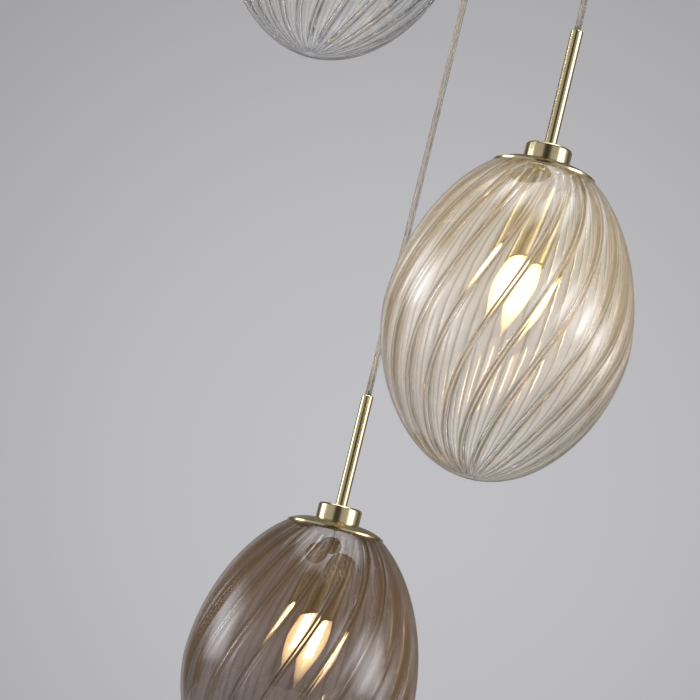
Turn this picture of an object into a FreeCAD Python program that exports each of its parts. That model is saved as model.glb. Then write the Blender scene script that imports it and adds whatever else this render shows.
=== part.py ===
"""Cluster pendant: three ribbed glass lamps on cords of different lengths, hung from one round ceiling plate.

Millimetres, +Z up. The origin is on the ceiling, at the middle of the mounting bracket's top face.
The cords stand at the corners of an equal-sided triangle; each lamp is built with its flange's rim
at z = 0 and then lowered to its place.
"""
import FreeCAD, Part
import math
import os

Vector = FreeCAD.Vector
Z_AXIS = Vector(0, 0, 1)
ORIGIN = Vector(0, 0, 0)

# ---- layout ----
CORD_CIRCLE = 105.9          # radius of the circle that the three cords stand on
CLEAR_DROP = 304.0           # each flange's rim below the ceiling
AMBER_DROP = 575.0
SMOKE_DROP = 851.0
LAMPS = {                    # direction of each cord from the middle in degrees, and its drop
    "clear": (210.0, CLEAR_DROP),
    "amber": (330.0, AMBER_DROP),
    "smoke": (90.0, SMOKE_DROP),
}
GAP = 0.3                    # air between pieces that move against each other
SLIP = 0.1                   # radial clearance of a piece that slides over another

# ---- cord ----
CORD_RADIUS = 2.4
CORD_HOLE_SLIP = 0.2         # radial clearance of the cord in its grip
BUSH_HOLE_SLIP = 0.1         # radial clearance of the cord in its bush
TAIL_BOW = 6.0               # how far the cord inside the plate bows sideways
TAIL_LEAD = 26.0             # its straight approach to the terminal block
TAIL_LEAD_LONG = 45.0        # the same for the cord that comes from behind

# ---- ceiling plate ----
PLATE_RADIUS = 150.0
PLATE_HEIGHT = 35.0
PLATE_WALL = 1.2
PLATE_EDGE_RADIUS = 12.0

# ---- mounting bracket ----
STRAP_THICKNESS = 2.5
STRAP_WIDTH = 30.0
STRAP_MIDDLE_LENGTH = 160.0  # the part that lies on the ceiling
STRAP_STEP_LENGTH = 8.0      # run of each joggle
STRAP_STEP_DEPTH = 7.5       # how far the ends stand below the ceiling
STRAP_END_LENGTH = 28.0
STUD_SPACING = 208.0
STUD_RADIUS = 2.5
STUD_HEAD_RADIUS = 4.5
STUD_HEAD_HEIGHT = 3.0
STUD_BELOW_PLATE = 6.0
SLOT_SPACING = 88.0
SLOT_RADIUS = 2.6
SLOT_LENGTH = 18.0
EARTH_SCREW_X = 24.0
EARTH_SCREW_RADIUS = 2.0
EARTH_SCREW_LENGTH = 9.0
EARTH_HEAD_RADIUS = 4.0
EARTH_HEAD_HEIGHT = 2.4
DOME_NUT_FLATS = 10.0
DOME_NUT_HEX_HEIGHT = 4.0
DOME_NUT_CAP_RADIUS = 4.4
DOME_NUT_WALL = 1.2          # metal over the stud's tip

# ---- terminal block ----
TERMINAL_LENGTH = 34.0
TERMINAL_WIDTH = 17.0
TERMINAL_HEIGHT = 14.0
TERMINAL_PITCH = 10.5
TERMINAL_WIRE_RADIUS = 1.9
TERMINAL_SCREW_RADIUS = 2.2
TERMINAL_SCREW_DEPTH = 4.0
TERMINAL_EDGE = 1.2

# ---- cord grips ----
GRIP_BODY_RADIUS = 8.0
GRIP_BODY_HEIGHT = 12.0
GRIP_BODY_EDGE = 2.0
GRIP_THREAD_RADIUS = 5.0
GRIP_THREAD_HEIGHT = 11.0    # above the underside of the plate
GRIP_NUT_FLATS = 14.0
GRIP_NUT_HEIGHT = 3.0
GRIP_MOUTH_DEPTH = 3.0       # the cord pivots this far above the mouth
GRIP_MOUTH_RADIUS = 3.8

# ---- stem ----
STEM_RADIUS = 4.5
STEM_BORE_RADIUS = 3.6
STEM_LENGTH = 87.5
STEM_EDGE = 0.5
SPIGOT_RADIUS = 4.0
SPIGOT_BORE_RADIUS = 3.0
SPIGOT_BELOW_SLEEVE_TOP = 13.0
MOUTH_HEIGHT = 2.8           # ball centre below the top of the stem
MOUTH_LIP_RISE = 1.7         # lower edge of the turned-in lip above the ball centre
MOUTH_LIP_RADIUS = 3.1
MOUTH_TOP_RADIUS = 3.9
BALL_RADIUS = 3.4

# ---- cap and flange ----
CAP_RADIUS = 17.0
CAP_HEIGHT = 12.5
CAP_EDGE_RADIUS = 2.2
CAP_WALL = 1.5
FLANGE_RADIUS = 37.5
FLANGE_RISE = 5.6            # underside of the saucer at its middle above its rim
FLANGE_WALL = 1.2

# ---- glass ----
GLASS_RADIUS = 89.5
GLASS_WIDEST = 116.5         # widest level below the rim
GLASS_CROWN = 13.0           # the upper curve would close this far above the rim
GLASS_BOTTOM_AXIS = 110.0    # half height of the lower curve
GLASS_TOP_POWER = 1.82
GLASS_BOTTOM_POWER = 1.73
GLASS_WALL = 3.0             # at the widest level
GLASS_NECK_WALL = 6.5        # the thicker glass of the shoulder
GLASS_BOTTOM_WALL = 3.5
RIB_COUNT = 22
RIB_TWIST = 0.27             # degrees of turn for each millimetre of height
RIB_GROOVE = 0.8             # depth of the grooves at the widest level
RIB_GROOVE_POWER = 0.7       # how the grooves fade with the radius
RIB_SECTIONS = 15
POLE_RADIUS = 7.0            # polished flat at the bottom
NECK_HOLE_RADIUS = 21.0
NECK_LIP_RADIUS = 24.0
NECK_CHAMFER = 1.0
GASKET_THICKNESS = 0.6
GASKET_RADIUS = 26.0

# ---- sleeve, lamp holder and bulb ----
SLEEVE_RADIUS = 16.0
SLEEVE_WALL = 1.0
SLEEVE_LENGTH = 72.0
SLEEVE_BEAD = 0.8            # rolled lower edge
SPRING_RING_HEIGHT = 5.0
SPRING_RING_WALL = 0.8
SPRING_RING_DROP = 12.0      # top of the spring ring below the sleeve's top
SPRING_ARM_WIDTH = 6.0
SPRING_ARM_COUNT = 3
SPRING_ARM_REACH = 30.0      # radius of the arms' tips
NUT_FLATS = 13.0
NUT_HEIGHT = 4.0
HOLDER_RADIUS = 13.6
HOLDER_LENGTH = 50.0
HOLDER_BASE = 6.0
HOLDER_CAVITY_RADIUS = 9.5
HOLDER_CAVITY_HEIGHT = 15.0
HOLDER_FLOOR = 3.0           # between the wiring space and the socket
HOLDER_EDGE = 1.0
BULB_CAP_RADIUS = 7.0
BULB_CAP_SLIP = 0.2
BULB_CAP_LENGTH = 22.0
BULB_CAP_SHOULDER = 3.0      # the cone above the thread
BULB_CAP_STEP = 1.0          # ring round the contact
BULB_CONTACT_RADIUS = 2.4
BULB_CONTACT_HEIGHT = 1.5
BULB_RADIUS = 17.5
BULB_LENGTH = 98.0
BULB_NECK_RADIUS = 6.4
BULB_NECK_FLARE = 1.6        # how much wider the neck gets before the belly
BULB_WALL = 0.8
FILAMENT_COUNT = 4
FILAMENT_RADIUS = 0.9
FILAMENT_LENGTH = 30.0
FILAMENT_CIRCLE = 5.0
FILAMENT_STEM_RADIUS = 1.6
FILAMENT_HUB_EDGE = 0.5      # the hub stands out past the sticks

# ---- derived levels, with the flange's rim at z = 0 ----
glassTopAxis = GLASS_WIDEST + GLASS_CROWN
flangeTop = FLANGE_RISE + FLANGE_WALL
capTop = flangeTop + CAP_HEIGHT
stemTop = capTop + STEM_LENGTH
ballLevel = stemTop - MOUTH_HEIGHT
sleeveTop = FLANGE_RISE
sleeveBottom = sleeveTop - SLEEVE_LENGTH
spigotBottom = sleeveTop - SPIGOT_BELOW_SLEEVE_TOP
nutTop = sleeveTop - SLEEVE_WALL
holderTop = nutTop - NUT_HEIGHT
holderBottom = holderTop - HOLDER_LENGTH
cavityTop = holderTop - HOLDER_BASE
cavityBottom = cavityTop - HOLDER_CAVITY_HEIGHT
socketTop = cavityBottom - HOLDER_FLOOR
contactTop = holderBottom + BULB_CAP_LENGTH + BULB_CONTACT_HEIGHT
bulbTip = contactTop - BULB_LENGTH

# ---- derived levels in the row frame ----
plateFace = -PLATE_HEIGHT
gripMouth = plateFace - GRIP_BODY_HEIGHT
cordPivot = gripMouth + GRIP_MOUTH_DEPTH
gripTop = plateFace + GRIP_THREAD_HEIGHT


def cordPlace(lamp):
    angle = math.radians(LAMPS[lamp][0])
    return Vector(CORD_CIRCLE * math.cos(angle), CORD_CIRCLE * math.sin(angle), 0)


def cylinder(radius, bottom, top, x=0.0, y=0.0):
    return Part.makeCylinder(radius, top - bottom, Vector(x, y, bottom))


def hexPrism(flats, bottom, top, x=0.0, y=0.0):
    corner = flats / math.sqrt(3)
    points = []
    for i in range(7):
        angle = math.radians(60 * i)
        points.append(Vector(x + corner * math.cos(angle), y + corner * math.sin(angle), bottom))
    return Part.Face(Part.makePolygon(points)).extrude(Vector(0, 0, top - bottom))


def arcThrough(a, b, c):
    return Part.Arc(Vector(a[0], 0, a[1]), Vector(b[0], 0, b[1]), Vector(c[0], 0, c[1])).toShape()


def lineThrough(*points):
    edges = []
    for a, b in zip(points[:-1], points[1:]):
        edges.append(Part.LineSegment(Vector(a[0], 0, a[1]), Vector(b[0], 0, b[1])).toShape())
    return edges


def turned(edges):
    """A solid of revolution about Z from edges that close a profile of (radius, height)."""
    return Part.Face(Part.Wire(edges)).revolve(ORIGIN, Z_AXIS, 360)


def turnedPolygon(*points):
    return turned(lineThrough(*points, points[0]))


def filletTop(shape, level, radius, least=0.0):
    """Rounds the circular edges at one level that are wider than the least radius."""
    edges = []
    for edge in shape.Edges:
        if not isinstance(edge.Curve, Part.Circle):
            continue
        if abs(edge.Curve.Center.z - level) < 1e-6 and edge.Curve.Radius > least:
            edges.append(edge)
    return shape.makeFillet(radius, edges)


# ---------------------------------------------------------------- glass shade
def glassRadius(z, radius, topAxis, bottomAxis):
    """Radius of the egg at height z below the rim (z negative)."""
    height = z + GLASS_WIDEST
    if height > 0:
        share = (height / topAxis) ** GLASS_TOP_POWER
    else:
        share = (-height / bottomAxis) ** GLASS_BOTTOM_POWER
    return radius * math.sqrt(max(0.0, 1 - share))


def glassLevel(target, radius, axis, power, sign):
    """Height at which one half of the egg has the target radius."""
    share = (1 - (target / radius) ** 2) ** (1 / power)
    return -GLASS_WIDEST + sign * axis * share


def shoulderCentre():
    """Radius of the saucer's underside arc and the height of its centre, over the cap's edge."""
    run = FLANGE_RADIUS - CAP_RADIUS
    arcRadius = (run ** 2 + FLANGE_RISE ** 2) / (2 * FLANGE_RISE)
    return arcRadius, FLANGE_RISE - arcRadius


def saucerLevel(r, below=0.0):
    """Height of the saucer's underside at radius r, or of a parallel curve below it."""
    arcRadius, centre = shoulderCentre()
    return centre + math.sqrt((arcRadius - below) ** 2 - (r - CAP_RADIUS) ** 2)


def saucerArc(a, b, below=0.0):
    middle = (a + b) / 2
    return arcThrough((a, saucerLevel(a, below)), (middle, saucerLevel(middle, below)),
                      (b, saucerLevel(b, below)))


def ribbedSection(z, radius):
    """One level of the glass: a closed ring of outward bows that meet in grooves."""
    groove = radius - RIB_GROOVE * (radius / GLASS_RADIUS) ** RIB_GROOVE_POWER
    step = 2 * math.pi / RIB_COUNT
    turn = math.radians(RIB_TWIST * z)
    edges = []
    for i in range(RIB_COUNT):
        a = turn + i * step
        points = []
        for angle, r in ((a, groove), (a + step / 2, radius), (a + step, groove)):
            points.append(Vector(r * math.cos(angle), r * math.sin(angle), z))
        edges.append(Part.Arc(*points).toShape())
    return Part.Wire(edges)


def shade():
    """Blown glass with twisted optic ribs outside, smooth inside, and an open neck."""
    top = -GASKET_THICKNESS
    bottom = glassLevel(POLE_RADIUS, GLASS_RADIUS, GLASS_BOTTOM_AXIS, GLASS_BOTTOM_POWER, -1)
    first = math.asin((top + GLASS_WIDEST) / glassTopAxis)
    last = -math.asin((-bottom - GLASS_WIDEST) / GLASS_BOTTOM_AXIS)
    sections = []
    for i in range(RIB_SECTIONS):
        angle = first + (last - first) * i / (RIB_SECTIONS - 1)
        axis = glassTopAxis if angle > 0 else GLASS_BOTTOM_AXIS
        z = -GLASS_WIDEST + axis * math.sin(angle)
        sections.append(ribbedSection(z, glassRadius(z, GLASS_RADIUS, glassTopAxis, GLASS_BOTTOM_AXIS)))
    outside = Part.makeLoft(sections, True, False)
    rimRadius = glassRadius(top, GLASS_RADIUS, glassTopAxis, GLASS_BOTTOM_AXIS) - RIB_GROOVE
    neckBottom = top - GLASS_NECK_WALL / 2
    neck = turned([saucerArc(0.5, rimRadius, GASKET_THICKNESS)] + lineThrough(
        (rimRadius, saucerLevel(rimRadius, GASKET_THICKNESS)), (rimRadius, neckBottom), (0.5, neckBottom),
        (0.5, saucerLevel(0.5, GASKET_THICKNESS))))
    return outside.fuse(neck).cut(shadeHollow()).removeSplitter()


def shadeHollow():
    radius = GLASS_RADIUS - GLASS_WALL
    topAxis = glassTopAxis - GLASS_NECK_WALL
    bottomAxis = GLASS_BOTTOM_AXIS - GLASS_BOTTOM_WALL
    neckLevel = glassLevel(NECK_LIP_RADIUS, radius, topAxis, GLASS_TOP_POWER, 1)
    count = 16
    start = -math.pi / 2
    end = math.asin((neckLevel + GLASS_WIDEST) / topAxis)
    points = []
    for i in range(count + 1):
        angle = start + (end - start) * i / count
        axis = topAxis if angle > 0 else bottomAxis
        z = -GLASS_WIDEST + axis * math.sin(angle)
        points.append(Vector(glassRadius(z, radius, topAxis, bottomAxis), 0, z))
    points[0] = Vector(0, 0, -GLASS_WIDEST - bottomAxis)
    points[-1] = Vector(NECK_LIP_RADIUS, 0, neckLevel)
    curve = Part.BSplineCurve()
    curve.interpolate(points)
    above = flangeTop + CAP_HEIGHT
    edges = [curve.toShape()] + lineThrough(
        (NECK_LIP_RADIUS, neckLevel), (NECK_HOLE_RADIUS, neckLevel + NECK_CHAMFER),
        (NECK_HOLE_RADIUS, above), (0, above), (0, -GLASS_WIDEST - bottomAxis))
    return turned(edges)


def gasket():
    inner, outer = NECK_HOLE_RADIUS, GASKET_RADIUS
    edges = [saucerArc(inner, outer)]
    edges += lineThrough((outer, saucerLevel(outer)), (outer, saucerLevel(outer, GASKET_THICKNESS)))
    edges.append(saucerArc(outer, inner, GASKET_THICKNESS))
    edges += lineThrough((inner, saucerLevel(inner, GASKET_THICKNESS)), (inner, saucerLevel(inner)))
    return turned(edges)


# ---------------------------------------------------------------- brass of one lamp
def flange():
    """A thin domed saucer with a flat middle that the cap stands on."""
    hole = SPIGOT_RADIUS + SLIP
    rimTop = saucerLevel(FLANGE_RADIUS, -FLANGE_WALL)
    edges = [saucerArc(CAP_RADIUS, FLANGE_RADIUS)]
    edges += lineThrough((FLANGE_RADIUS, saucerLevel(FLANGE_RADIUS)), (FLANGE_RADIUS, rimTop))
    edges.append(saucerArc(FLANGE_RADIUS, CAP_RADIUS, -FLANGE_WALL))
    edges += lineThrough((CAP_RADIUS, flangeTop), (hole, flangeTop), (hole, FLANGE_RISE),
                         (CAP_RADIUS, FLANGE_RISE))
    return turned(edges)


def cap():
    """A short cup, open downwards, with a rounded top edge and a hole for the stem's spigot."""
    body = filletTop(cylinder(CAP_RADIUS, flangeTop, capTop), capTop, CAP_EDGE_RADIUS)
    body = body.cut(cylinder(CAP_RADIUS - CAP_WALL, flangeTop, capTop - CAP_WALL))
    return body.cut(cylinder(SPIGOT_RADIUS + SLIP, flangeTop, capTop))


def stem():
    """A tube with a turned-in lip that holds the cord's ball, and a thinner threaded spigot below."""
    lip = ballLevel + MOUTH_LIP_RISE
    return turnedPolygon(
        (SPIGOT_BORE_RADIUS, spigotBottom), (SPIGOT_RADIUS, spigotBottom), (SPIGOT_RADIUS, capTop),
        (STEM_RADIUS, capTop), (STEM_RADIUS, stemTop - STEM_EDGE), (STEM_RADIUS - STEM_EDGE, stemTop),
        (MOUTH_TOP_RADIUS, stemTop), (MOUTH_LIP_RADIUS, lip), (STEM_BORE_RADIUS, lip),
        (STEM_BORE_RADIUS, capTop), (SPIGOT_BORE_RADIUS, capTop))


def stemBush():
    """The ball that is clamped on the cord's end and carries the lamp by the stem's lip."""
    ball = Part.makeSphere(BALL_RADIUS, Vector(0, 0, ballLevel))
    return ball.cut(cylinder(CORD_RADIUS + BUSH_HOLE_SLIP, ballLevel - BALL_RADIUS, ballLevel + BALL_RADIUS))


def sleeve():
    """The tube round the lamp holder, closed at the top, with a rolled lower edge."""
    inner = SLEEVE_RADIUS - SLEEVE_WALL
    body = turnedPolygon(
        (SPIGOT_RADIUS + SLIP, sleeveTop), (SLEEVE_RADIUS, sleeveTop), (SLEEVE_RADIUS, sleeveBottom),
        (inner, sleeveBottom), (inner, nutTop), (SPIGOT_RADIUS + SLIP, nutTop))
    bead = Part.makeTorus(SLEEVE_RADIUS, SLEEVE_BEAD, Vector(0, 0, sleeveBottom + SLEEVE_BEAD))
    return body.fuse(bead).cut(cylinder(inner, sleeveBottom - 1, nutTop))


def shadeSpring():
    """A ring on the sleeve with leaf arms that spread under the glass's shoulder."""
    ringTop = sleeveTop - SPRING_RING_DROP
    ringBottom = ringTop - SPRING_RING_HEIGHT
    inner = SLEEVE_RADIUS
    ring = cylinder(inner + SPRING_RING_WALL, ringBottom, ringTop).cut(cylinder(inner, ringBottom, ringTop))
    tipTop = shadeInsideLevel(SPRING_ARM_REACH) - GAP
    root = inner + SPRING_RING_WALL / 2
    t = SPRING_RING_WALL
    profile = [(root, ringBottom), (root + 2 * t, ringBottom), (SPRING_ARM_REACH, tipTop - 3 * t),
               (SPRING_ARM_REACH, tipTop), (SPRING_ARM_REACH - t, tipTop), (root + t, ringBottom + 2 * t),
               (root, ringBottom + 2 * t)]
    points = [Vector(r, -SPRING_ARM_WIDTH / 2, z) for r, z in profile]
    arm = Part.Face(Part.makePolygon(points + points[:1])).extrude(Vector(0, SPRING_ARM_WIDTH, 0))
    arm = arm.cut(cylinder(inner, ringBottom - 1, ringTop))
    arms = []
    for i in range(SPRING_ARM_COUNT):
        copy = arm.copy()
        copy.rotate(ORIGIN, Z_AXIS, 360 * i / SPRING_ARM_COUNT)
        arms.append(copy)
    return ring.multiFuse(arms).removeSplitter()


def shadeInsideLevel(r):
    return glassLevel(r, GLASS_RADIUS - GLASS_WALL, glassTopAxis - GLASS_NECK_WALL, GLASS_TOP_POWER, 1)


def stemNut():
    return hexPrism(NUT_FLATS, holderTop, nutTop).cut(cylinder(SPIGOT_RADIUS, holderTop, nutTop))


# ---------------------------------------------------------------- lamp holder and bulb
def lampHolder():
    """A moulded holder: wiring space above, screw socket below, with a hole for the spigot."""
    body = filletTop(cylinder(HOLDER_RADIUS, holderBottom, holderTop), holderBottom, HOLDER_EDGE)
    body = body.cut(cylinder(SPIGOT_RADIUS, cavityTop, holderTop))
    body = body.cut(cylinder(HOLDER_CAVITY_RADIUS, cavityBottom, cavityTop))
    return body.cut(cylinder(BULB_CAP_RADIUS + BULB_CAP_SLIP, holderBottom, socketTop))


def innerLead():
    """The cord's last stretch, through the stem into the holder's wiring space."""
    top = ballLevel - BALL_RADIUS + GAP
    return cylinder(CORD_RADIUS, cavityBottom, top)


def bulbCap():
    """The screw cap with its centre contact."""
    coneBottom = holderBottom + BULB_CAP_LENGTH - BULB_CAP_SHOULDER
    neck = cylinder(BULB_CAP_RADIUS, holderBottom, coneBottom)
    shoulder = Part.makeCone(BULB_CAP_RADIUS, BULB_CONTACT_RADIUS + BULB_CAP_STEP, BULB_CAP_SHOULDER,
                             Vector(0, 0, coneBottom))
    contact = cylinder(BULB_CONTACT_RADIUS, holderBottom + BULB_CAP_LENGTH, contactTop)
    return neck.fuse(shoulder).fuse(contact).removeSplitter()


def bulbProfile(inset):
    """Edges of half the candle bulb: neck, belly and point, drawn in by a wall."""
    top = holderBottom
    length = top - bulbTip
    shape = [(0.0, BULB_NECK_RADIUS), (0.10, BULB_NECK_RADIUS + BULB_NECK_FLARE), (0.26, 0.78 * BULB_RADIUS),
             (0.44, BULB_RADIUS), (0.62, 0.86 * BULB_RADIUS), (0.80, 0.50 * BULB_RADIUS),
             (0.93, 0.19 * BULB_RADIUS)]
    points = [Vector(r - inset, 0, top - share * length) for share, r in shape]
    points[0].z = top - inset
    points.append(Vector(0, 0, bulbTip + inset))
    curve = Part.BSplineCurve()
    curve.interpolate(points)
    return curve.toShape(), points


def bulbGlass():
    solids = []
    for inset in (0.0, BULB_WALL):
        curve, points = bulbProfile(inset)
        first, last = points[0], points[-1]
        edges = [curve] + lineThrough((0, last.z), (0, first.z), (first.x, first.z))
        solids.append(turned(edges))
    return solids[0].cut(solids[1])


def bulbFilaments():
    """Upright filament sticks round a glass stem that stands in the bulb's neck."""
    top = holderBottom - BULB_WALL
    middle = holderBottom - 0.44 * (holderBottom - bulbTip)
    stickTop = middle + FILAMENT_LENGTH / 2
    body = cylinder(FILAMENT_STEM_RADIUS, stickTop, top)
    hub = cylinder(FILAMENT_CIRCLE + FILAMENT_RADIUS + FILAMENT_HUB_EDGE, stickTop, stickTop + FILAMENT_RADIUS)
    sticks = []
    for i in range(FILAMENT_COUNT):
        angle = 2 * math.pi * i / FILAMENT_COUNT
        sticks.append(cylinder(FILAMENT_RADIUS, stickTop - FILAMENT_LENGTH, stickTop,
                               FILAMENT_CIRCLE * math.cos(angle), FILAMENT_CIRCLE * math.sin(angle)))
    return body.fuse(hub).multiFuse(sticks).removeSplitter()


# ---------------------------------------------------------------- hanging cord
def hangingCord(lamp):
    """The cord from its pivot in the grip down into the ball; its top end is a half ball."""
    bottom = ballLevel - BALL_RADIUS / 2 - LAMPS[lamp][1]
    body = cylinder(CORD_RADIUS, bottom, cordPivot)
    return body.fuse(Part.makeSphere(CORD_RADIUS, Vector(0, 0, cordPivot))).removeSplitter()


# ---------------------------------------------------------------- ceiling plate
def plateCover():
    """A round dish, open at the ceiling, with holes for the cord grips and the studs."""
    def dish(radius, face, edge):
        corner = edge * (1 - math.sqrt(0.5))
        edges = lineThrough((0, face), (radius - edge, face))
        edges.append(arcThrough((radius - edge, face), (radius - corner, face + corner), (radius, face + edge)))
        edges += lineThrough((radius, face + edge), (radius, 0), (0, 0), (0, face))
        return turned(edges)
    body = dish(PLATE_RADIUS, plateFace, PLATE_EDGE_RADIUS)
    body = body.cut(dish(PLATE_RADIUS - PLATE_WALL, plateFace + PLATE_WALL, PLATE_EDGE_RADIUS - PLATE_WALL))
    for lamp in LAMPS:
        place = cordPlace(lamp)
        body = body.cut(cylinder(GRIP_THREAD_RADIUS + SLIP, plateFace - 1, gripTop, place.x, place.y))
    for x in (-STUD_SPACING / 2, STUD_SPACING / 2):
        body = body.cut(cylinder(STUD_RADIUS + SLIP, plateFace - 1, plateFace + 2 * PLATE_WALL, x))
    return body


def mountingBracket():
    """A steel strap whose ends are joggled down, so that the studs' heads clear the ceiling."""
    a = STRAP_MIDDLE_LENGTH / 2
    b = a + STRAP_STEP_LENGTH
    c = b + STRAP_END_LENGTH
    low = -STRAP_STEP_DEPTH
    t = STRAP_THICKNESS
    top = [(-c, low), (-b, low), (-a, 0), (a, 0), (b, low), (c, low)]
    under = [(x, z - t) for x, z in reversed(top)]
    points = [Vector(x, -STRAP_WIDTH / 2, z) for x, z in top + under]
    strap = Part.Face(Part.makePolygon(points + points[:1])).extrude(Vector(0, STRAP_WIDTH, 0))
    for x in (-STUD_SPACING / 2, STUD_SPACING / 2):
        strap = strap.cut(cylinder(STUD_RADIUS + SLIP, low - t, low, x))
    half = SLOT_LENGTH / 2 - SLOT_RADIUS
    for x in (-SLOT_SPACING / 2, SLOT_SPACING / 2):
        slot = Part.makeBox(2 * half, 2 * SLOT_RADIUS, t, Vector(x - half, -SLOT_RADIUS, -t))
        for end in (x - half, x + half):
            slot = slot.fuse(cylinder(SLOT_RADIUS, -t, 0, end))
        strap = strap.cut(slot)
    return strap.cut(cylinder(EARTH_SCREW_RADIUS, -t, 0, EARTH_SCREW_X))


def bracketStuds():
    """Two bolts that hang from the bracket's ends through the plate."""
    studs = []
    seat = -STRAP_STEP_DEPTH
    for x in (-STUD_SPACING / 2, STUD_SPACING / 2):
        shank = cylinder(STUD_RADIUS, plateFace - STUD_BELOW_PLATE, seat, x)
        head = cylinder(STUD_HEAD_RADIUS, seat, seat + STUD_HEAD_HEIGHT, x)
        studs.append(shank.fuse(head).removeSplitter())
    return Part.makeCompound(studs)


def domeNuts():
    nuts = []
    for x in (-STUD_SPACING / 2, STUD_SPACING / 2):
        hexBottom = plateFace - DOME_NUT_HEX_HEIGHT
        nut = hexPrism(DOME_NUT_FLATS, hexBottom, plateFace, x)
        dome = Part.makeSphere(DOME_NUT_CAP_RADIUS, Vector(x, 0, hexBottom))
        nut = nut.fuse(dome.common(cylinder(DOME_NUT_CAP_RADIUS, hexBottom - DOME_NUT_CAP_RADIUS, hexBottom, x)))
        tip = plateFace - STUD_BELOW_PLATE
        nuts.append(nut.cut(cylinder(STUD_RADIUS, tip, plateFace, x)).removeSplitter())
    return Part.makeCompound(nuts)


def earthScrew():
    t = STRAP_THICKNESS
    shank = cylinder(EARTH_SCREW_RADIUS, -EARTH_SCREW_LENGTH, -GAP, EARTH_SCREW_X)
    head = cylinder(EARTH_HEAD_RADIUS, -t - EARTH_HEAD_HEIGHT, -t, EARTH_SCREW_X)
    return shank.fuse(head).removeSplitter()


def terminalBlock():
    """A moulded three-way block under the bracket, with wire holes through it and screw wells below."""
    top = -STRAP_THICKNESS
    body = Part.makeBox(TERMINAL_LENGTH, TERMINAL_WIDTH, TERMINAL_HEIGHT,
                        Vector(-TERMINAL_LENGTH / 2, -TERMINAL_WIDTH / 2, top - TERMINAL_HEIGHT))
    upright = [edge for edge in body.Edges if abs(edge.Vertexes[0].Z - edge.Vertexes[-1].Z) > 1]
    body = body.makeFillet(TERMINAL_EDGE, upright)
    level = top - TERMINAL_HEIGHT / 2
    for i in (-1, 0, 1):
        x = i * TERMINAL_PITCH
        hole = Part.makeCylinder(TERMINAL_WIRE_RADIUS, TERMINAL_WIDTH,
                                 Vector(x, -TERMINAL_WIDTH / 2, level), Vector(0, 1, 0))
        body = body.cut(hole)
        well = cylinder(TERMINAL_SCREW_RADIUS, top - TERMINAL_HEIGHT,
                        top - TERMINAL_HEIGHT + TERMINAL_SCREW_DEPTH, x)
        body = body.cut(well)
    return body


def cordGrip(place):
    """A turned gland: threaded neck through the plate, body below it, mouth flared for the cord."""
    bore = CORD_RADIUS + CORD_HOLE_SLIP
    edge = GRIP_BODY_EDGE
    bend = edge * (1 - math.sqrt(0.5))
    edges = lineThrough(
        (GRIP_MOUTH_RADIUS, gripMouth), (GRIP_BODY_RADIUS - edge, gripMouth))
    edges.append(arcThrough((GRIP_BODY_RADIUS - edge, gripMouth), (GRIP_BODY_RADIUS - bend, gripMouth + bend),
                            (GRIP_BODY_RADIUS, gripMouth + edge)))
    edges += lineThrough(
        (GRIP_BODY_RADIUS, gripMouth + edge), (GRIP_BODY_RADIUS, plateFace), (GRIP_THREAD_RADIUS, plateFace),
        (GRIP_THREAD_RADIUS, gripTop), (bore, gripTop), (bore, cordPivot), (GRIP_MOUTH_RADIUS, gripMouth))
    grip = turned(edges)
    grip.translate(place)
    return grip


def gripNuts():
    """Lock nuts that hold the grips from inside the plate."""
    seat = plateFace + PLATE_WALL
    nuts = []
    for lamp in LAMPS:
        place = cordPlace(lamp)
        nut = hexPrism(GRIP_NUT_FLATS, seat, seat + GRIP_NUT_HEIGHT, place.x, place.y)
        nuts.append(nut.cut(cylinder(GRIP_THREAD_RADIUS, seat, seat + GRIP_NUT_HEIGHT, place.x, place.y)))
    return Part.makeCompound(nuts)


def cordRoute(points):
    """A wire of straight runs joined by tangent arcs; prints the least radius."""
    edges = []
    start = points[0]
    least = None
    for i in range(1, len(points) - 1):
        before = (points[i - 1] - points[i])
        after = (points[i + 1] - points[i])
        half = (math.pi - before.getAngle(after)) / 2
        reach = 0.45 * min(before.Length, after.Length)
        radius = reach / math.tan(half)
        least = radius if least is None else min(least, radius)
        a = points[i] + before.normalize() * reach
        c = points[i] + after.normalize() * reach
        inward = (before + after).normalize()
        b = points[i] + inward * (radius / math.cos(half) - radius)
        edges.append(Part.LineSegment(start, a).toShape())
        edges.append(Part.Arc(a, b, c).toShape())
        start = c
    edges.append(Part.LineSegment(start, points[-1]).toShape())
    return Part.Wire(edges), least


def cordTail(lamp):
    """The cord inside the plate, from its grip to the terminal block."""
    place = cordPlace(lamp)
    side = 1 if place.y > 0 else -1
    slot = 0 if side > 0 else (1 if place.x > 0 else -1)
    end = Vector(slot * TERMINAL_PITCH, side * TERMINAL_WIDTH / 2, -STRAP_THICKNESS - TERMINAL_HEIGHT / 2)
    rise = end.z - gripTop
    heading = Vector(end.x - place.x, end.y - place.y, 0)
    outward = Vector(0, side, 0)
    points = [Vector(place.x, place.y, gripTop), Vector(place.x, place.y, end.z)]
    if abs(end.x - place.x) > CORD_CIRCLE / 2:
        middle = points[1] + heading * 0.42
        middle.y += -side * TAIL_BOW
        points += [middle, end + outward * TAIL_LEAD]
    else:
        points[1] = Vector(place.x, place.y, gripTop + rise * 0.98)
        bend = end + outward * TAIL_LEAD_LONG
        points += [Vector(bend.x + TAIL_BOW, bend.y, end.z)]
    points.append(end)
    wire, least = cordRoute(points)
    section = Part.Wire(Part.Circle(points[0], Z_AXIS, CORD_RADIUS).toShape())
    tube = wire.makePipeShell([section], True, False)
    volume = math.pi * CORD_RADIUS ** 2 * wire.Length
    print("tail", lamp, "length", round(wire.Length, 1), "least radius", round(least, 1),
          "volume ratio", round(tube.Volume / volume, 4))
    return tube


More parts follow.
